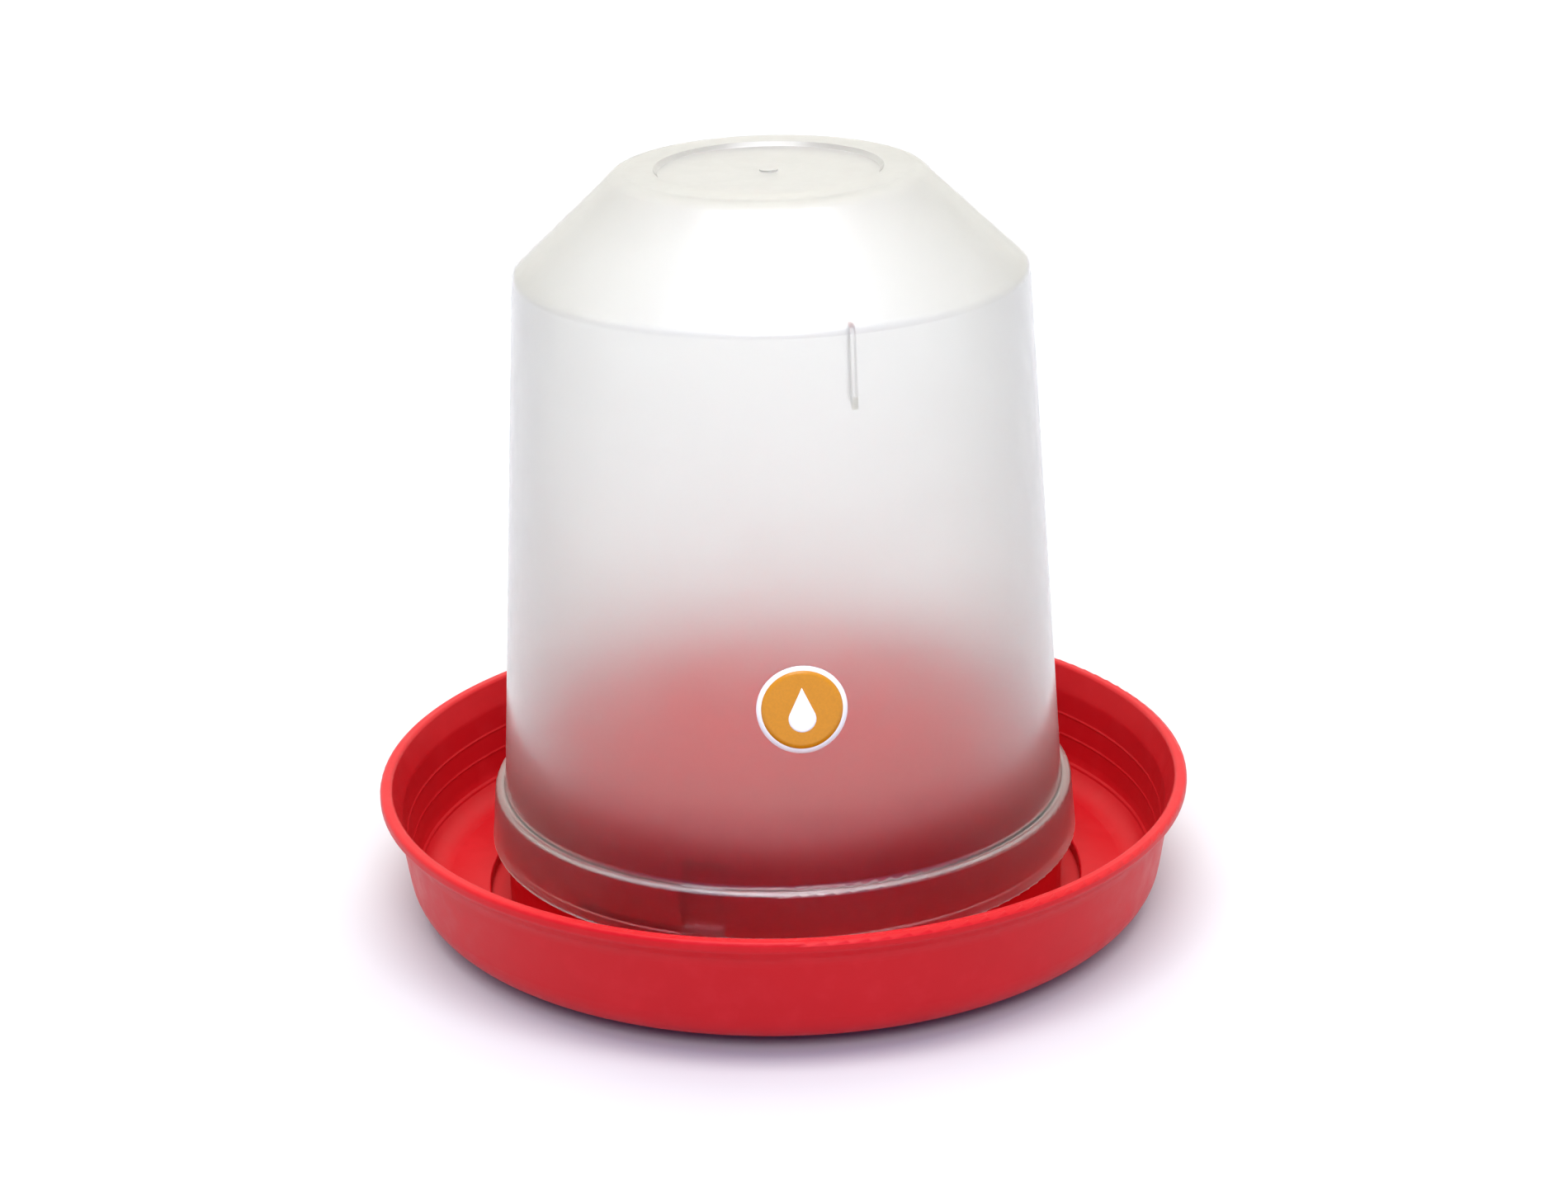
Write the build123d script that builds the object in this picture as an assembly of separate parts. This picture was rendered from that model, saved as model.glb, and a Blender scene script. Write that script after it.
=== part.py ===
from build123d import *
import os
from math import degrees, hypot, sqrt

# A siphon drinker for poultry. A thin-walled dish has a raised closed platform in its middle. A water
# bell stands over the platform, seated by its step on the platform's ledge, and hangs its skirt in the
# dish. Water runs down three flutes to the trough until it covers the skirt's bottom edge, which stops
# the air. The flutes are also the entries of a bayonet: a lug of the bell goes down each one, and a
# turn takes it into a lock channel, so that the dish stays on while the filled bell is turned over.
#
# Millimetres, +Z up, origin on the ground on the drinker's axis. Azimuths are degrees from -Y (the
# front) towards +X.

# Bell: outside sizes
BODY_RADIUS = 96.8        # at the step
BODY_HEIGHT = 181.6       # from the step to the shoulder
BODY_TAPER = 11.4         # radius lost from the step to the shoulder
CONE_HEIGHT = 32.6        # from the shoulder to the flat top
CONE_RUN = 35.0           # radius lost from the shoulder to the flat top
BELL_WALL = 1.8
SHOULDER_FILLET = 4.5
TOP_FILLET = 8.0
RECESS_MARGIN = 14.0      # width of the flat ring round the recess in the top
RECESS_DEPTH = 1.4
GATE_RADIUS = 3.0         # sprue mark in the middle of the recess
GATE_HEIGHT = 0.6
STEP_WIDTH = 3.4          # the shelf between the body and the skirt
STEP_FILLET = 1.6
SKIRT_HEIGHT = 19.3
SKIRT_FLARE = 1.7
BEAD_HEIGHT = 3.6         # thickened bottom edge of the skirt
BEAD_THICKNESS = 0.9      # more wall there, on the inside

# Bell: bayonet lugs and stacking ribs
LUG_WIDTH = 12.0
LUG_HEIGHT = 3.4
LUG_LIFT = 0.3            # the lug's underside above the skirt's edge
RIB_LENGTH = 25.0
RIB_DEPTH = 3.0
RIB_THICKNESS = 1.8
RIB_AZIMUTH = 17.0

# Label on the front of the bell
LABEL_RADIUS = 14.5
LABEL_THICKNESS = 0.25
LABEL_AZIMUTH = 4.0
LABEL_ABOVE_STEP = 60.7

# Dish
DISH_WALL = 2.0
FOOT_DEPTH = 4.0          # the ring groove under the skirt, below the trough's floor, is the foot
SKIRT_DROP = 18.2         # from the skirt's edge down to the trough's floor
TROUGH_DEPTH = 40.0       # from the rim's top to the trough's floor
TROUGH_FLOOR = 24.2       # flat width from the groove to the corner of the wall, measured square
WALL_FLARE = 6.2          # the wall's lean, over the trough's depth
CORNER_FILLET = 13.0      # outside, between the wall and the underside
LIP_FLARE = 3.9           # how far the lip curls out beyond the wall
LIP_HEIGHT = 9.0          # from the neck, where the curl begins, to the rim's top
NECK_FILLET = 8.0
RIM_WIDTH = 4.0
RIM_HEIGHT = 3.4          # of the lip's outer edge
RIM_FILLET = 1.5
RING_HEIGHTS = (6.0, 15.4, 22.9)   # three fine rings inside the wall, above the floor
RING_DEPTH = 0.22
RING_HEIGHT = 4.0         # at its root, inside the wall

# Platform in the dish
PLATFORM_RISE = 20.1      # its top above the bell's step
PLATFORM_FILLET = 16.0
BODY_GAP = 2.2            # between the body's inside and the platform, at the platform's top
SKIRT_GAP = 1.4           # between the skirt's inside and the ledge
GROOVE_GAP = 1.8          # between the skirt's outside and the groove's wall
EDGE_FILLET = 0.8

# Flutes and lock channels
TURNS = 3                 # flutes, lugs and ribs, evenly round the axis
FLUTE_AZIMUTH = -16.4
FLUTE_CLEARANCE = 1.5     # on each side of the lug
FLUTE_DEPTH = 4.5         # behind the lug's tip
FLUTE_ABOVE_STEP = 6.0
LUG_GAP = 1.5             # between the lug's tip and the platform's upper wall
CHANNEL_GAP = 0.6         # above and below the lug
LOCK_TURN = 25.0          # degrees from a flute to the end of its lock channel

# Ribs under the platform's top
UNDER_RIBS = 6
UNDER_RIB_DEPTH = 9.0
UNDER_RIB_THICKNESS = 1.6
HUB_RADIUS = 12.0

BITE = 0.5                # how far a piece that is joined on runs into its neighbour

# Heights
floor_z = DISH_WALL + FOOT_DEPTH
groove_z = DISH_WALL
rim_z = floor_z + TROUGH_DEPTH
skirt_z = floor_z + SKIRT_DROP
step_z = skirt_z + SKIRT_HEIGHT
ledge_z = step_z - BELL_WALL
shoulder_z = step_z + BODY_HEIGHT
top_z = shoulder_z + CONE_HEIGHT
platform_z = step_z + PLATFORM_RISE
lug_z = skirt_z + LUG_LIFT

# Radii
shoulder_r = BODY_RADIUS - BODY_TAPER
top_r = shoulder_r - CONE_RUN
skirt_top_r = BODY_RADIUS + STEP_WIDTH
skirt_r = skirt_top_r + SKIRT_FLARE
taper = BODY_TAPER / BODY_HEIGHT
upper_r = BODY_RADIUS - BELL_WALL - taper * PLATFORM_RISE - BODY_GAP
ledge_r = skirt_top_r - BELL_WALL - SKIRT_GAP
groove_r = skirt_r + GROOVE_GAP
wall_foot_r = groove_r + TROUGH_FLOOR
lug_tip_r = upper_r + LUG_GAP
flute_r = lug_tip_r - FLUTE_DEPTH
channel_r = lug_tip_r - CHANNEL_GAP
wall_lean = WALL_FLARE / TROUGH_DEPTH
rim_r = wall_foot_r + DISH_WALL + WALL_FLARE + LIP_FLARE


def turned(profile):
    """A full turn of a closed outline of (radius, height) points about the axis."""
    return revolve(Plane.XZ * profile, Axis.Z)


def outline(points):
    return make_face(Polyline(*points, close=True))


def rounded(face, corners):
    """Round an outline's corners: (point, radius) pairs."""
    for point, radius in corners:
        near = min(face.vertices(), key=lambda v: hypot(v.X - point[0], v.Y - point[1]))
        face = fillet(near, radius)
    return face


def at_azimuth(shape, azimuth):
    """Turn a shape made on the +X side to its azimuth."""
    return Rotation(0, 0, azimuth - 90) * shape


def around(shape, azimuth):
    """Copies of a shape made on the +X side, evenly round the axis."""
    return [at_azimuth(shape, azimuth + 360 / TURNS * i) for i in range(TURNS)]


def inset(before, corner, after, depth):
    """The corner of a line pair moved inwards, to the right of its direction of travel."""
    (ax, ay), (bx, by), (cx, cy) = before, corner, after
    first, second = hypot(bx - ax, by - ay), hypot(cx - bx, cy - by)
    ux, uy = (bx - ax) / first, (by - ay) / first
    vx, vy = (cx - bx) / second, (cy - by) / second
    bisector = (uy + vy, -(ux + vx))
    scale = depth / (1 + ux * vx + uy * vy)
    return bx + bisector[0] * scale, by + bisector[1] * scale


def arc_bar(inner, outer, low, high, turn):
    """A bar of rectangular section bent about the axis, centred on +X."""
    section = Plane.XZ * outline([(inner, low), (outer, low), (outer, high), (inner, high)])
    return Rotation(0, 0, -turn / 2) * revolve(section, Axis.Z, turn)


def wall_radius(height):
    """Inside radius of the dish's wall, above the trough's floor, with the rounded corner."""
    corner = CORNER_FILLET - DISH_WALL
    slope = hypot(1, wall_lean)
    if height > corner * (1 - wall_lean / slope):
        return wall_foot_r + wall_lean * height
    return wall_foot_r + corner * (wall_lean - slope) + sqrt(corner ** 2 - (corner - height) ** 2)


def fine_rings():
    """Three low triangular rings on the inside of the dish's wall."""
    rings = []
    for height in RING_HEIGHTS:
        low, high = height - RING_HEIGHT / 2, height + RING_HEIGHT / 2
        rings.append(turned(outline([
            (wall_radius(low) + BITE, floor_z + low),
            (wall_radius(height) - RING_DEPTH, floor_z + height),
            (wall_radius(high) + BITE, floor_z + high),
        ])))
    return rings


def dish_shell():
    """The dish and its platform as one turned wall."""
    wall = DISH_WALL
    lip_r = rim_r - RIM_WIDTH
    lip_edge = (rim_r, rim_z - RIM_HEIGHT)
    neck_z = rim_z - LIP_HEIGHT
    neck = (wall_foot_r + wall_lean * (neck_z - floor_z), neck_z)
    outer_neck = (neck[0] + wall, neck_z)
    outer_foot = (wall_foot_r + wall - wall_lean * wall, floor_z - wall)
    under_top = (upper_r - wall, platform_z - wall)
    shell = outline([
        (0, platform_z), (upper_r, platform_z), (upper_r, ledge_z), (ledge_r, ledge_z),
        (ledge_r, groove_z), (groove_r, groove_z), (groove_r, floor_z), (wall_foot_r, floor_z),
        neck, (lip_r, rim_z), (rim_r, rim_z), lip_edge, outer_neck, outer_foot,
        (groove_r + wall, floor_z - wall), (groove_r + wall, 0), (ledge_r - wall, 0),
        (ledge_r - wall, ledge_z - wall), (upper_r - wall, ledge_z - wall),
        under_top, (0, platform_z - wall),
    ])
    return turned(rounded(shell, [
        ((upper_r, platform_z), PLATFORM_FILLET), (under_top, PLATFORM_FILLET - wall),
        ((ledge_r, ledge_z), EDGE_FILLET), ((groove_r, floor_z), EDGE_FILLET),
        ((wall_foot_r, floor_z), CORNER_FILLET - wall), (outer_foot, CORNER_FILLET),
        (neck, NECK_FILLET), (outer_neck, NECK_FILLET), (lip_edge, RIM_FILLET),
        ((lip_r, rim_z), RIM_FILLET), ((rim_r, rim_z), RIM_FILLET),
        ((groove_r + wall, 0), EDGE_FILLET), ((ledge_r - wall, 0), EDGE_FILLET),
    ]))


def filled_platform(skin):
    """The platform as a solid, a skin's thickness inside its surface."""
    side, top = upper_r - skin, platform_z - skin
    ledge = ledge_z - EDGE_FILLET
    return turned(rounded(outline([
        (0, 0), (ledge_r - skin, 0), (ledge_r - skin, ledge), (side, ledge), (side, top), (0, top),
    ]), [((side, top), PLATFORM_FILLET - skin)]))


def bayonet():
    """The flutes and lock channels to cut, and the walls behind them, kept inside the platform."""
    wall = DISH_WALL
    upright = (Align.MIN, Align.CENTER, Align.MIN)
    platform = filled_platform(0)
    reach = ledge_r - flute_r + 2 * BITE
    width = LUG_WIDTH + 2 * FLUTE_CLEARANCE
    top = step_z + FLUTE_ABOVE_STEP
    flute = Pos(flute_r, 0, groove_z) * Box(reach, width, top - groove_z, align=upright)
    housing = Pos(flute_r - wall, 0, 0) * Box(reach, width + 2 * wall, top + wall, align=upright)

    low, high = lug_z - CHANNEL_GAP, lug_z + LUG_HEIGHT + CHANNEL_GAP
    turn = LOCK_TURN + degrees(LUG_WIDTH / 2 / lug_tip_r)
    swing = Rotation(0, 0, -turn / 2)
    channel = swing * arc_bar(channel_r, ledge_r + BITE, low, high, turn)
    end_wall = degrees(2 * wall / ledge_r)
    back = swing * arc_bar(channel_r - wall, ledge_r - BITE, low - wall, high + wall, turn + end_wall)

    cuts = around(flute, FLUTE_AZIMUTH) + around(channel, FLUTE_AZIMUTH)
    walls = around(housing, FLUTE_AZIMUTH) + around(back, FLUTE_AZIMUTH)
    return cuts, [part & platform for part in walls]


def under_ribs():
    """Six ribs and a hub that stiffen the platform's top from below."""
    root_z = platform_z - DISH_WALL
    low_z = root_z - UNDER_RIB_DEPTH
    hub_inner_r = HUB_RADIUS - UNDER_RIB_THICKNESS
    length = upper_r - DISH_WALL + BITE - hub_inner_r
    rib = Pos(hub_inner_r + BITE, 0, low_z) * Box(
        length - BITE, UNDER_RIB_THICKNESS, UNDER_RIB_DEPTH + BITE,
        align=(Align.MIN, Align.CENTER, Align.MIN)) & filled_platform(DISH_WALL / 2)
    hub = arc_bar(hub_inner_r, HUB_RADIUS, low_z, root_z + BITE, 360)
    return [hub] + [Rotation(0, 0, 360 / UNDER_RIBS * i) * rib for i in range(UNDER_RIBS)]


def base():
    cuts, walls = bayonet()
    return (dish_shell() + walls - cuts) + under_ribs() + fine_rings()


def bell():
    recess_r = top_r - RECESS_MARGIN
    outside = [
        (0, top_z), (top_r, top_z), (shoulder_r, shoulder_z), (BODY_RADIUS, step_z),
        (skirt_top_r, step_z), (skirt_r, skirt_z),
    ]
    corners = zip(outside, outside[1:], outside[2:])
    inside = [inset(a, b, c, BELL_WALL) for a, b, c in corners]
    inner_skirt_r = skirt_r - BELL_WALL
    bead_r = inner_skirt_r - BEAD_THICKNESS
    bead_z = skirt_z + BEAD_HEIGHT
    bead_top_r = inner_skirt_r - SKIRT_FLARE / SKIRT_HEIGHT * BEAD_HEIGHT
    shell = outline(outside + [
        (bead_r, skirt_z), (bead_r, bead_z - BEAD_THICKNESS), (bead_top_r, bead_z),
        *reversed(inside), (0, top_z - BELL_WALL),
    ])
    shell = rounded(shell, [
        (outside[1], TOP_FILLET), (outside[2], SHOULDER_FILLET),
        (outside[3], STEP_FILLET), (outside[4], STEP_FILLET),
        (inside[0], TOP_FILLET - BELL_WALL), (inside[1], SHOULDER_FILLET - BELL_WALL),
        (outside[5], EDGE_FILLET), ((bead_r, skirt_z), EDGE_FILLET),
    ])
    body = turned(shell)

    # recess in the top, and the sprue mark in it
    floor_low = top_z - RECESS_DEPTH
    body += turned(outline([
        (0, floor_low - BELL_WALL), (recess_r, floor_low - BELL_WALL),
        (recess_r + RECESS_DEPTH, top_z - BELL_WALL), (recess_r + RECESS_DEPTH, top_z - BITE),
        (0, top_z - BITE),
    ]))
    body -= turned(outline([
        (0, floor_low), (recess_r, floor_low), (recess_r + RECESS_DEPTH, top_z), (0, top_z),
    ]))
    body += Pos(0, 0, floor_low) * Cylinder(
        GATE_RADIUS, GATE_HEIGHT, align=(Align.CENTER, Align.CENTER, Align.MIN))

    # bayonet lugs inside the skirt's edge
    lug_turn = degrees(LUG_WIDTH / lug_tip_r)
    lug = arc_bar(lug_tip_r, bead_r + BITE, lug_z, lug_z + LUG_HEIGHT, lug_turn)
    body += around(lug, FLUTE_AZIMUTH)

    # stacking ribs inside the shoulder, tapered to nothing at their lower end
    inner_r, inner_z = inside[1]
    low_r = inner_r + taper * RIB_LENGTH
    rib = extrude(Plane.XZ * outline([
        (inner_r - RIB_DEPTH, inner_z + RIB_DEPTH / 2),
        (inner_r - RIB_DEPTH, inner_z - RIB_LENGTH + RIB_DEPTH),
        (low_r + BITE, inner_z - RIB_LENGTH - BITE), (inner_r + BITE, inner_z),
    ]), RIB_THICKNESS / 2, both=True)
    return body + around(rib, RIB_AZIMUTH)


def label():
    """A thin round sticker bent to the bell's taper."""
    middle = step_z + LABEL_ABOVE_STEP
    low, high = middle - LABEL_RADIUS - BITE, middle + LABEL_RADIUS + BITE

    def body_r(z):
        return BODY_RADIUS - taper * (z - step_z)

    film = turned(outline([
        (body_r(low), low), (body_r(low) + LABEL_THICKNESS, low),
        (body_r(high) + LABEL_THICKNESS, high), (body_r(high), high),
    ]))
    cutter = Pos(0, 0, middle) * Rotation(0, 90, 0) * Cylinder(
        LABEL_RADIUS, 2 * BODY_RADIUS, align=(Align.CENTER, Align.CENTER, Align.MIN))
    return at_azimuth(cutter, LABEL_AZIMUTH) & film


os.makedirs("parts", exist_ok=True)
for name, part in (("base", base()), ("bell", bell()), ("label", label())):
    part.label = name
    export_step(part, f"parts/{name}.step")
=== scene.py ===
import math

import bmesh
import bpy
from mathutils import Matrix, Vector


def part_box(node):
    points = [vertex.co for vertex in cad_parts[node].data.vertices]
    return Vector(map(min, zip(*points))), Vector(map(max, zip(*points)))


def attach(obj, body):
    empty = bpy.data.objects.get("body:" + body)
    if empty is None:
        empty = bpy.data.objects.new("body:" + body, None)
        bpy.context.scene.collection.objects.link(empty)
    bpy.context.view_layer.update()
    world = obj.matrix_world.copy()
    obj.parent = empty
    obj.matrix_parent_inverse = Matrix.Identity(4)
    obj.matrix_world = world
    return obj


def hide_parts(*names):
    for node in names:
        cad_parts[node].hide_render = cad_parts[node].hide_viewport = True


bl_info = {
    "name": "Siphon Drinker",
    "version": (1, 0, 0),
    "blender": (4, 5, 0),
    "location": "3D View > Sidebar > Drinker",
    "description": "Looks for a poultry drinker: a red dish, a translucent bell and a round label",
    "category": "Add Mesh",
}

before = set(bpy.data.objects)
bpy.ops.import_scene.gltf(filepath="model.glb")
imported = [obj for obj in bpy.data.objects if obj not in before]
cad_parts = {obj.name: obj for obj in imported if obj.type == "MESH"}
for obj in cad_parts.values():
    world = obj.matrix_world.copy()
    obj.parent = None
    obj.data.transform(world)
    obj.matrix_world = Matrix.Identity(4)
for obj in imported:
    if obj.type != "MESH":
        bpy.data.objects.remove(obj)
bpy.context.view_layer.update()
PLATFORM_TOP_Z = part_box("base")[1].z
BELL_TOP_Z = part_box("bell")[1].z
LABEL_LOW, LABEL_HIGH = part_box("label")

MM = 0.001

# The studio, in metres, and its camera, in degrees and in millimetres of film
FLOOR_RADIUS = 12.0
CAMERA_PLACE = (0, -1.0262, 0.4906)
CAMERA_PAN, CAMERA_TILT, CAMERA_ROLL = 0.10, 20.34, -1.358
SENSOR_WIDTH, LENS = 36.0, 73.44


# Sizes and colours that a user would change

class BellSizes(bpy.types.PropertyGroup):
    """The bell's outside, which the label is bent on to, and how its plastic passes light."""

    body_radius: bpy.props.FloatProperty(
        name="Body radius", description="Outside radius of the body at the step",
        default=96.8 * MM, unit="LENGTH", precision=4)
    body_height: bpy.props.FloatProperty(
        name="Body height", description="From the step to the shoulder",
        default=181.6 * MM, unit="LENGTH", precision=4)
    body_taper: bpy.props.FloatProperty(
        name="Body taper", description="Radius lost from the step to the shoulder",
        default=11.4 * MM, unit="LENGTH", precision=4)
    cone_height: bpy.props.FloatProperty(
        name="Cone height", description="From the shoulder to the flat top",
        default=32.6 * MM, unit="LENGTH", precision=4)
    tint: bpy.props.StringProperty(
        name="Tint", description="Colour of white light once it has passed, as sRGB hex", default="F4F4F1")
    haze: bpy.props.StringProperty(
        name="Haze", description="Colour of the light spread all round, as sRGB hex", default="F3F7FF")
    milk: bpy.props.FloatProperty(
        name="Milk", description="Share of the light that the plastic spreads all round",
        default=0.02, subtype="FACTOR", min=0, max=1)


class DishColours(bpy.types.PropertyGroup):
    """Colours of the dish's plastic."""

    red: bpy.props.StringProperty(
        name="Red", description="The pigment's colour, as sRGB hex", default="C4101A")
    scuffed: bpy.props.StringProperty(
        name="Scuffed", description="The same where it is rubbed dull, as sRGB hex", default="D83038")


class LabelSizes(bpy.types.PropertyGroup):
    """The round label, whose size comes from the frame."""

    azimuth: bpy.props.FloatProperty(
        name="Azimuth", description="From the front towards +X",
        default=math.radians(4.0), unit="ROTATION")
    thickness: bpy.props.FloatProperty(
        name="Thickness", description="Thickness of the film",
        default=0.25 * MM, unit="LENGTH", precision=5)
    margin: bpy.props.FloatProperty(
        name="Margin", description="White edge round the amber print",
        default=1.5 * MM, unit="LENGTH", precision=4)
    drop_radius: bpy.props.FloatProperty(
        name="Drop radius", description="Radius of the drop's round part",
        default=4.4 * MM, unit="LENGTH", precision=4)
    drop_height: bpy.props.FloatProperty(
        name="Drop height", description="From the middle of the round part to the tip",
        default=10.4 * MM, unit="LENGTH", precision=4)
    white: bpy.props.StringProperty(name="White", description="Film, as sRGB hex", default="F4F3EF")
    amber: bpy.props.StringProperty(name="Amber", description="Ink, as sRGB hex", default="D08808")


GROUPS = {"drinker_bell": BellSizes, "drinker_dish": DishColours, "drinker_label": LabelSizes}


# Helpers

def srgb(hex_colour):
    """An sRGB hex colour as linear RGBA."""
    parts = [int(hex_colour[i:i + 2], 16) / 255 for i in (0, 2, 4)]
    return [c / 12.92 if c <= 0.04045 else ((c + 0.055) / 1.055) ** 2.4 for c in parts] + [1.0]


def add(tree, kind, inputs=None, **settings):
    """Add a node, set it, and give its inputs values or links, by name or by place in the list."""
    node = tree.nodes.new(kind)
    for name, value in settings.items():
        setattr(node, name, value)
    for name, value in (inputs or {}).items():
        if isinstance(value, bpy.types.NodeSocket):
            tree.links.new(value, node.inputs[name])
        else:
            node.inputs[name].default_value = value
    return node


def new_material(name):
    """An empty material and its node tree, with its object coordinates in millimetres."""
    material = bpy.data.materials.new(name)
    material.use_nodes = True
    tree = material.node_tree
    tree.nodes.clear()
    place = add(tree, "ShaderNodeTexCoord").outputs["Object"]
    in_mm = add(tree, "ShaderNodeVectorMath", {0: place, "Scale": 1 / MM}, operation="SCALE")
    return material, tree, in_mm.outputs["Vector"]


def new_piece(name, bm, body, material):
    """A mesh object from a bmesh, with smooth faces, that rides on a body."""
    mesh = bpy.data.meshes.new(name)
    bm.to_mesh(mesh)
    bm.free()
    mesh.shade_smooth()
    mesh.materials.append(material)
    piece = bpy.data.objects.new(name, mesh)
    bpy.context.scene.collection.objects.link(piece)
    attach(piece, body)
    return piece


def paint_node(name, material):
    """Give a carried-over CAD node its material."""
    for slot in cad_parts[name].material_slots:
        slot.material = material


# Materials

def red_dish_plastic(colours):
    """Polypropylene, injection moulded, red masterbatch.

    A deep even red with a soft broad sheen. The mould's fine spark-eroded grain breaks the sheen up, and
    handling leaves patches all over that are slightly paler and duller.
    """
    material, tree, place = new_material("red_moulded_polypropylene")
    # clouds of pigment 45 mm across, from the flow of the melt
    flow = add(tree, "ShaderNodeTexNoise", {
        "Vector": place, "Scale": 1 / 45, "Detail": 2, "Distortion": 0.6})
    shade = add(tree, "ShaderNodeMapRange", {
        "Value": flow.outputs["Fac"], "From Min": 0.3, "From Max": 0.7, "To Min": 0.97, "To Max": 1.03})
    # rub marks 9 mm across
    rubs = add(tree, "ShaderNodeTexNoise", {
        "Vector": place, "Scale": 1 / 9, "Detail": 5, "Roughness": 0.6})
    rubbed = add(tree, "ShaderNodeMapRange", {
        "Value": rubs.outputs["Fac"], "From Min": 0.5, "From Max": 0.75, "To Min": 0, "To Max": 0.2})
    mixed = add(tree, "ShaderNodeMix", {
        0: rubbed.outputs["Result"], 6: srgb(colours.red), 7: srgb(colours.scuffed)}, data_type="RGBA")
    colour = add(tree, "ShaderNodeVectorMath", {
        0: mixed.outputs[2], "Scale": shade.outputs["Result"]}, operation="SCALE")
    sheen = add(tree, "ShaderNodeMapRange", {
        "Value": rubs.outputs["Fac"], "From Min": 0.35, "From Max": 0.7, "To Min": 0.36, "To Max": 0.47})
    # the grain is 0.3 mm across, drawn at 0.9 mm so that it shows
    grain = add(tree, "ShaderNodeTexNoise", {"Vector": place, "Scale": 1 / 0.9, "Detail": 2})
    bump = add(tree, "ShaderNodeBump", {
        "Height": grain.outputs["Fac"], "Strength": 0.12, "Distance": 0.1 * MM})
    shader = add(tree, "ShaderNodeBsdfPrincipled", {
        "Base Color": colour.outputs["Vector"], "Roughness": sheen.outputs["Result"], "IOR": 1.49,
        "Specular IOR Level": 0.2, "Normal": bump.outputs["Normal"]})
    add(tree, "ShaderNodeOutputMaterial", {"Surface": shader.outputs["BSDF"]})
    return material


def milky_bell_plastic(sizes):
    """Polypropylene without pigment, injection moulded in a smooth mould.

    Milky and see-through at once: what touches it shows clearly, and what is further behind it spreads
    into a soft tint. Its satin skin gives wide, faint highlights, with rub marks that are duller still.
    """
    material, tree, place = new_material("natural_polypropylene")
    # clouds in the wall 38 mm across, and rub marks 6 mm across
    clouds = add(tree, "ShaderNodeTexNoise", {
        "Vector": place, "Scale": 1 / 38, "Detail": 3, "Distortion": 0.4})
    rubs = add(tree, "ShaderNodeTexNoise", {
        "Vector": place, "Scale": 1 / 6, "Detail": 6, "Roughness": 0.65})
    dulled = add(tree, "ShaderNodeMath", {
        0: clouds.outputs["Fac"], 1: rubs.outputs["Fac"]}, operation="MULTIPLY")
    roughness = add(tree, "ShaderNodeMapRange", {
        "Value": dulled.outputs[0], "From Min": 0.15, "From Max": 0.4, "To Min": 0.33, "To Max": 0.42})
    # the mould's polishing marks are 0.2 mm apart, drawn at 1.4 mm so that they show
    marks = add(tree, "ShaderNodeTexNoise", {"Vector": place, "Scale": 1 / 1.4, "Detail": 2})
    bump = add(tree, "ShaderNodeBump", {
        "Height": marks.outputs["Fac"], "Strength": 0.08, "Distance": 0.1 * MM})
    shader = add(tree, "ShaderNodeBsdfPrincipled", {
        "Base Color": srgb(sizes.tint), "Roughness": roughness.outputs["Result"], "IOR": 1.4,
        "Transmission Weight": 1.0, "Coat Weight": 0.7, "Coat Roughness": 0.2, "Coat IOR": 1.49,
        "Normal": bump.outputs["Normal"]})
    milk = add(tree, "ShaderNodeBsdfTranslucent", {"Color": srgb(sizes.haze)})
    both = add(tree, "ShaderNodeMixShader", {
        0: sizes.milk, 1: shader.outputs["BSDF"], 2: milk.outputs["BSDF"]})
    add(tree, "ShaderNodeOutputMaterial", {"Surface": both.outputs["Shader"]})
    return material


def print_on_vinyl(name, hex_colour, roughness, unevenness):
    """Vinyl film, calendered, or ink screen-printed on it.

    Even and slightly glossy, with the faint mottle of the print and the slow ripple of a film that was
    pressed on by hand.
    """
    material, tree, place = new_material(name)
    # the screen's mottle is 0.2 mm across, drawn at 0.8 mm so that it shows
    mottle = add(tree, "ShaderNodeTexNoise", {"Vector": place, "Scale": 1 / 0.8, "Detail": 3})
    shade = add(tree, "ShaderNodeMapRange", {
        "Value": mottle.outputs["Fac"], "From Min": 0.3, "From Max": 0.7,
        "To Min": 1 - unevenness, "To Max": 1 + unevenness})
    colour = add(tree, "ShaderNodeVectorMath", {
        0: srgb(hex_colour)[:3], "Scale": shade.outputs["Result"]}, operation="SCALE")
    # ripples 5 mm apart
    ripple = add(tree, "ShaderNodeTexNoise", {"Vector": place, "Scale": 1 / 5, "Detail": 2})
    bump = add(tree, "ShaderNodeBump", {
        "Height": ripple.outputs["Fac"], "Strength": 0.1, "Distance": 0.1 * MM})
    sheen = add(tree, "ShaderNodeMapRange", {
        "Value": ripple.outputs["Fac"], "From Min": 0.3, "From Max": 0.7,
        "To Min": roughness - 0.04, "To Max": roughness + 0.06})
    shader = add(tree, "ShaderNodeBsdfPrincipled", {
        "Base Color": colour.outputs["Vector"], "Roughness": sheen.outputs["Result"], "IOR": 1.5,
        "Normal": bump.outputs["Normal"]})
    add(tree, "ShaderNodeOutputMaterial", {"Surface": shader.outputs["BSDF"]})
    return material


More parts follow.
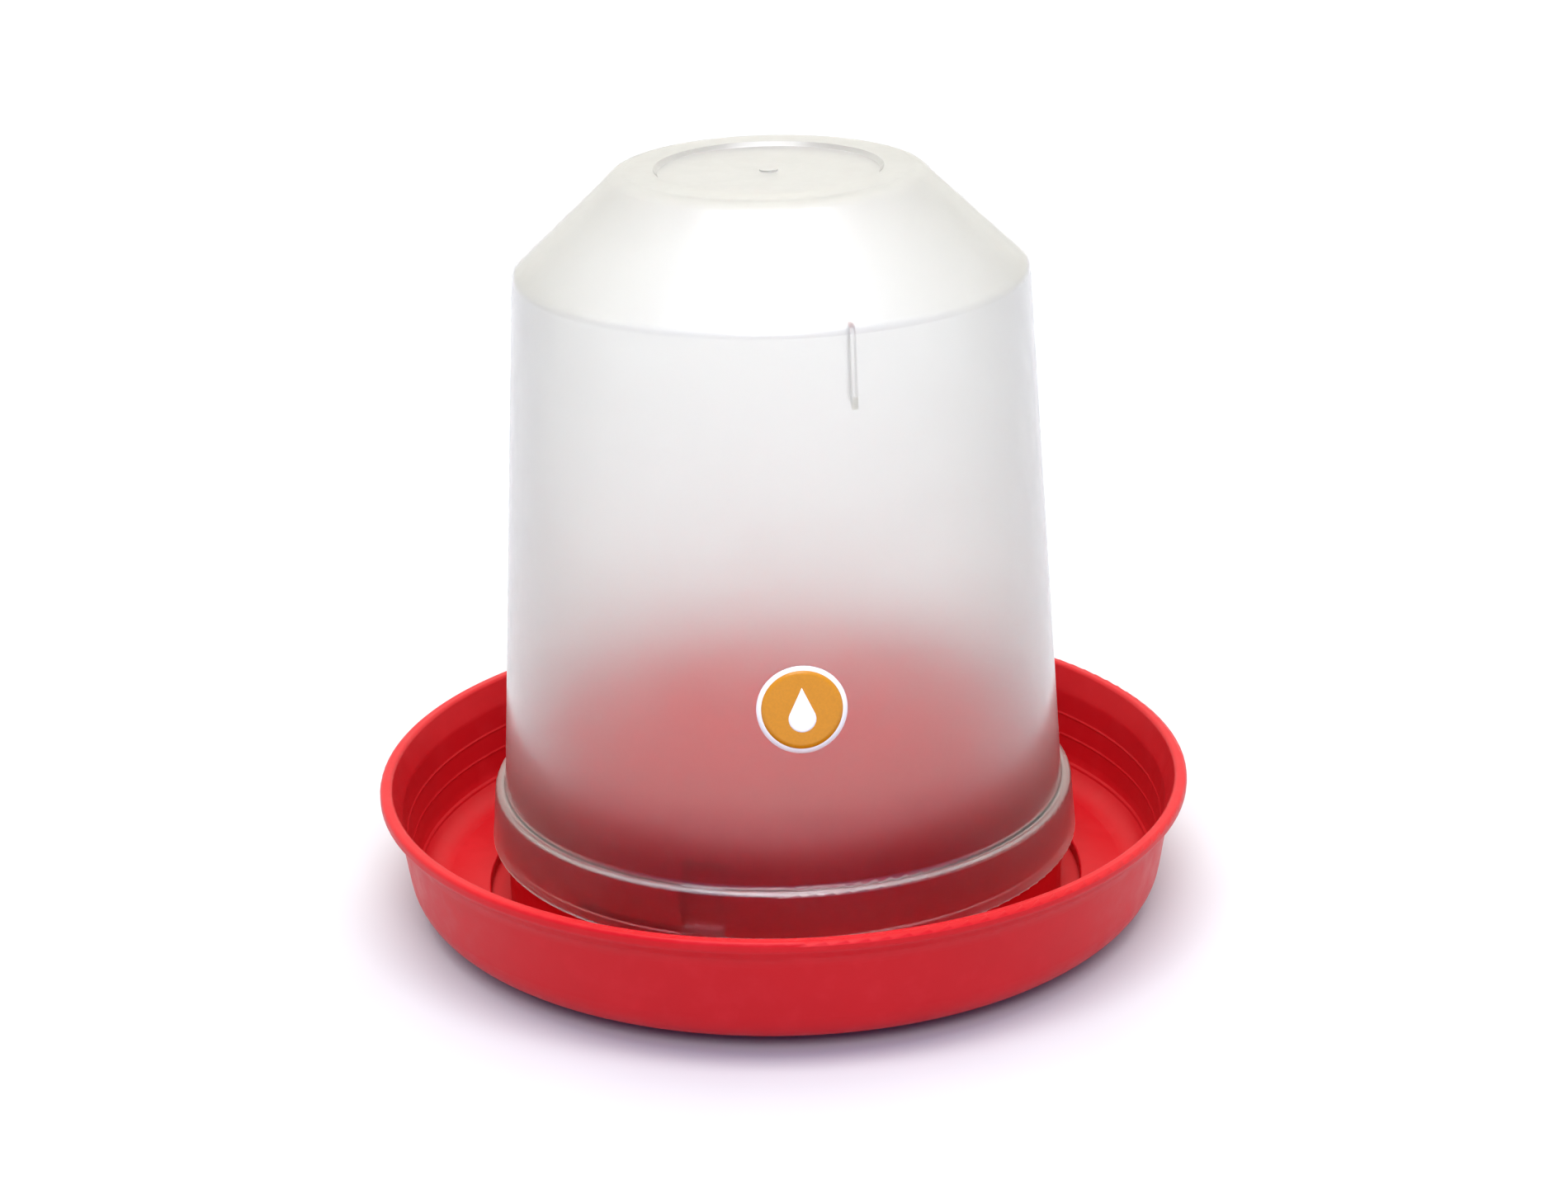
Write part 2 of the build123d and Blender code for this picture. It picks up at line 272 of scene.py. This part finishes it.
def matt_studio_board():
    """Board, painted matt with a roller: pale and without a sheen, with a faint cloudiness."""
    material, tree, place = new_material("matt_studio_board")
    # the roller's clouds are 120 mm across
    clouds = add(tree, "ShaderNodeTexNoise", {"Vector": place, "Scale": 1 / 120, "Detail": 2})
    tone = add(tree, "ShaderNodeMapRange", {
        "Value": clouds.outputs["Fac"], "From Min": 0.3, "From Max": 0.7, "To Min": 0.60, "To Max": 0.63})
    grey = add(tree, "ShaderNodeCombineColor", {channel: tone.outputs["Result"] for channel in range(3)})
    shader = add(tree, "ShaderNodeBsdfPrincipled", {
        "Base Color": grey.outputs["Color"], "Roughness": 0.9, "Specular IOR Level": 0.1})
    add(tree, "ShaderNodeOutputMaterial", {"Surface": shader.outputs["BSDF"]})
    return material


# Pieces

def label_place(radius_at, azimuth, middle_z):
    """A function that puts a point of a flat upright sticker on the bell's body."""
    turn = Matrix.Rotation(azimuth, 4, "Z")

    def place(across, up, lift):
        radius = radius_at(middle_z + up) + lift
        return turn @ Vector((across, -math.sqrt(radius ** 2 - across ** 2), middle_z + up))

    return place


def sticker(outline_radius, place, low, high):
    """A thin closed sheet with a polar outline, bent on to the body, between two lifts off it."""
    rings, steps = 8, 96
    bm = bmesh.new()
    spokes = [bm.verts.new((i / rings, 0, 0)) for i in range(rings + 1)]
    edges = [bm.edges.new(pair) for pair in zip(spokes, spokes[1:])]
    bmesh.ops.spin(bm, geom=spokes + edges, cent=(0, 0, 0), axis=(0, 0, 1), angle=math.tau,
                   steps=steps, use_merge=True)
    bmesh.ops.remove_doubles(bm, verts=bm.verts, dist=1e-5)
    bmesh.ops.recalc_face_normals(bm, faces=bm.faces)
    top = bmesh.ops.extrude_face_region(bm, geom=bm.faces[:])
    lifted = {v for v in top["geom"] if isinstance(v, bmesh.types.BMVert)}
    for vert in bm.verts:
        angle = math.atan2(vert.co.y, vert.co.x)
        reach = outline_radius(angle) * math.hypot(vert.co.x, vert.co.y)
        lift = high if vert in lifted else low
        vert.co = place(reach * math.cos(angle), reach * math.sin(angle), lift)
    bmesh.ops.recalc_face_normals(bm, faces=bm.faces)
    return bm


# Studio

def studio_floor():
    """A wide round floor under the dish's foot."""
    bm = bmesh.new()
    bmesh.ops.create_circle(bm, cap_ends=True, segments=96, radius=FLOOR_RADIUS)
    mesh = bpy.data.meshes.new("floor")
    bm.to_mesh(mesh)
    bm.free()
    mesh.materials.append(matt_studio_board())
    return bpy.data.objects.new("floor", mesh)


def softbox(name, centre, target, width, depth, watts, spread=180):
    """A rectangular light turned to face a point. A grid on its front narrows its spread, in degrees."""
    light = bpy.data.lights.new(name, "AREA")
    light.shape = "RECTANGLE"
    light.size, light.size_y = width, depth
    light.energy = watts
    light.spread = math.radians(spread)
    lamp = bpy.data.objects.new(name, light)
    lamp.location = centre
    lamp.rotation_euler = (Vector(target) - Vector(centre)).to_track_quat("-Z", "Y").to_euler()
    return lamp


def studio_room():
    """Soft light from pale walls: brighter and warmer from behind the drinker, cool from in front of it."""
    world = bpy.data.worlds.new("studio_room")
    world.use_nodes = True
    tree = world.node_tree
    tree.nodes.clear()
    direction = add(tree, "ShaderNodeTexCoord").outputs["Generated"]
    towards = add(tree, "ShaderNodeSeparateXYZ", {0: direction}).outputs
    walls = add(tree, "ShaderNodeMapRange", {
        "Value": towards["Y"], "From Min": -0.9, "From Max": 0.6, "To Min": 0.45, "To Max": 1.2})
    ceiling = add(tree, "ShaderNodeMapRange", {
        "Value": towards["Z"], "From Min": 0.3, "From Max": 1, "To Min": 0, "To Max": 0.7})
    strength = add(tree, "ShaderNodeMath", {
        0: walls.outputs["Result"], 1: ceiling.outputs["Result"]}, operation="ADD")
    warmth = add(tree, "ShaderNodeMapRange", {
        "Value": towards["Y"], "From Min": -0.7, "From Max": 0.1, "To Min": 0, "To Max": 1})
    colour = add(tree, "ShaderNodeMix", {
        0: warmth.outputs["Result"], 6: srgb("8C9FFF"), 7: srgb("FFFEF4")}, data_type="RGBA")
    light = add(tree, "ShaderNodeBackground", {
        "Color": colour.outputs[2], "Strength": strength.outputs[0]})
    add(tree, "ShaderNodeOutputWorld", {"Surface": light.outputs["Background"]})
    return world


def studio_camera():
    """A camera that looks slightly down at the drinker, with its own small pan and roll."""
    data = bpy.data.cameras.new("camera")
    data.sensor_width, data.lens = SENSOR_WIDTH, LENS
    camera = bpy.data.objects.new("camera", data)
    pan, tilt, roll = (math.radians(angle) for angle in (CAMERA_PAN, CAMERA_TILT, CAMERA_ROLL))
    look = Vector((math.sin(pan) * math.cos(tilt), math.cos(pan) * math.cos(tilt), -math.sin(tilt)))
    right = Vector((math.cos(pan), -math.sin(pan), 0))
    up = right.cross(look)
    across = math.cos(roll) * right + math.sin(roll) * up
    upward = math.cos(roll) * up - math.sin(roll) * right
    turned = Matrix((across, upward, -look)).transposed().to_4x4()
    camera.matrix_world = Matrix.Translation(CAMERA_PLACE) @ turned
    return camera


# Operators, panel and registration

class DRINKER_OT_dish(bpy.types.Operator):
    """Finish the dish's moulding"""

    bl_idname = "drinker.dish"
    bl_label = "Dish"

    def execute(self, context):
        paint_node("base", red_dish_plastic(context.scene.drinker_dish))
        return {"FINISHED"}


class DRINKER_OT_bell(bpy.types.Operator):
    """Finish the bell's moulding"""

    bl_idname = "drinker.bell"
    bl_label = "Bell"

    def execute(self, context):
        paint_node("bell", milky_bell_plastic(context.scene.drinker_bell))
        return {"FINISHED"}


class DRINKER_OT_label(bpy.types.Operator):
    """Make the round label: white film, amber print and a white drop"""

    bl_idname = "drinker.label"
    bl_label = "Label"

    def execute(self, context):
        bell, sizes = context.scene.drinker_bell, context.scene.drinker_label
        step_z = BELL_TOP_Z - bell.cone_height - bell.body_height
        taper = bell.body_taper / bell.body_height
        middle_z = (LABEL_LOW.z + LABEL_HIGH.z) / 2
        radius = (LABEL_HIGH.z - LABEL_LOW.z) / 2
        place = label_place(lambda z: bell.body_radius - taper * (z - step_z), sizes.azimuth, middle_z)
        tangent = math.acos(sizes.drop_radius / sizes.drop_height)
        sunk = 0.3 * sizes.drop_height

        def drop(angle):
            """The drop's reach at an angle: round, with two straight sides that meet at the tip."""
            off = abs(math.remainder(angle - math.pi / 2, math.tau))
            return sizes.drop_radius / math.cos(max(tangent - off, 0))

        def drop_place(across, up, lift):
            """The round part is sunk below the label's middle, so that the whole drop is centred."""
            return place(across, up - sunk, lift)

        film = new_piece(
            "label_film", sticker(lambda a: radius, place, 0, sizes.thickness), "bell",
            print_on_vinyl("white_vinyl_film", sizes.white, 0.36, 0.01))
        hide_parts("label")
        ink = 0.03 * MM
        new_piece(
            "label_amber_print",
            sticker(lambda a: radius - sizes.margin, place, sizes.thickness - ink, sizes.thickness + ink),
            "bell", print_on_vinyl("amber_ink_on_vinyl", sizes.amber, 0.34, 0.05))
        new_piece(
            "label_drop_print",
            sticker(drop, drop_place, sizes.thickness, sizes.thickness + 2 * ink),
            "bell", print_on_vinyl("white_ink_on_vinyl", sizes.white, 0.34, 0.01))
        return {"FINISHED"}


class DRINKER_OT_stage(bpy.types.Operator):
    """Make the floor, the lights and the camera"""

    bl_idname = "drinker.stage"
    bl_label = "Stage"

    def execute(self, context):
        link = context.scene.collection.objects.link
        floor = studio_floor()
        link(floor)
        platform = (0, 0, PLATFORM_TOP_Z)
        link(softbox(
            "overhead_softbox", centre=(0, -0.43, 1.9), target=platform, width=1.45, depth=0.5, watts=26))
        link(softbox(
            "front_softbox", centre=(0, -2.2, 1.9), target=platform, width=1.2, depth=1.0, watts=31))
        backdrop = softbox(
            "background_softbox", centre=(0, 2.4, 2.2), target=(0, 2.4, 0), width=3.0, depth=1.5,
            watts=58, spread=90)
        # screened off, so that the bell doesn't mirror it
        backdrop.visible_glossy = False
        link(backdrop)
        context.scene.world = studio_room()
        camera = studio_camera()
        link(camera)
        context.scene.camera = camera
        context.scene.view_settings.view_transform = "Standard"
        return {"FINISHED"}


class DRINKER_PT_panel(bpy.types.Panel):
    """The drinker's pieces and their sizes"""

    bl_idname = "DRINKER_PT_panel"
    bl_label = "Siphon Drinker"
    bl_space_type = "VIEW_3D"
    bl_region_type = "UI"
    bl_category = "Drinker"

    def draw(self, context):
        for name, group in GROUPS.items():
            box = self.layout.box()
            for size in group.__annotations__:
                box.prop(getattr(context.scene, name), size)
        for operator in OPERATORS:
            self.layout.operator(operator.bl_idname)


OPERATORS = (DRINKER_OT_dish, DRINKER_OT_bell, DRINKER_OT_label, DRINKER_OT_stage)
CLASSES = (*GROUPS.values(), *OPERATORS, DRINKER_PT_panel)


def register():
    for made in CLASSES:
        bpy.utils.register_class(made)
    for name, group in GROUPS.items():
        setattr(bpy.types.Scene, name, bpy.props.PointerProperty(type=group))


def unregister():
    for name in GROUPS:
        delattr(bpy.types.Scene, name)
    for made in reversed(CLASSES):
        bpy.utils.unregister_class(made)


def main():
    register()
    bpy.ops.drinker.dish()
    bpy.ops.drinker.bell()
    bpy.ops.drinker.label()
    bpy.ops.drinker.stage()


if __name__ == "__main__":
    main()
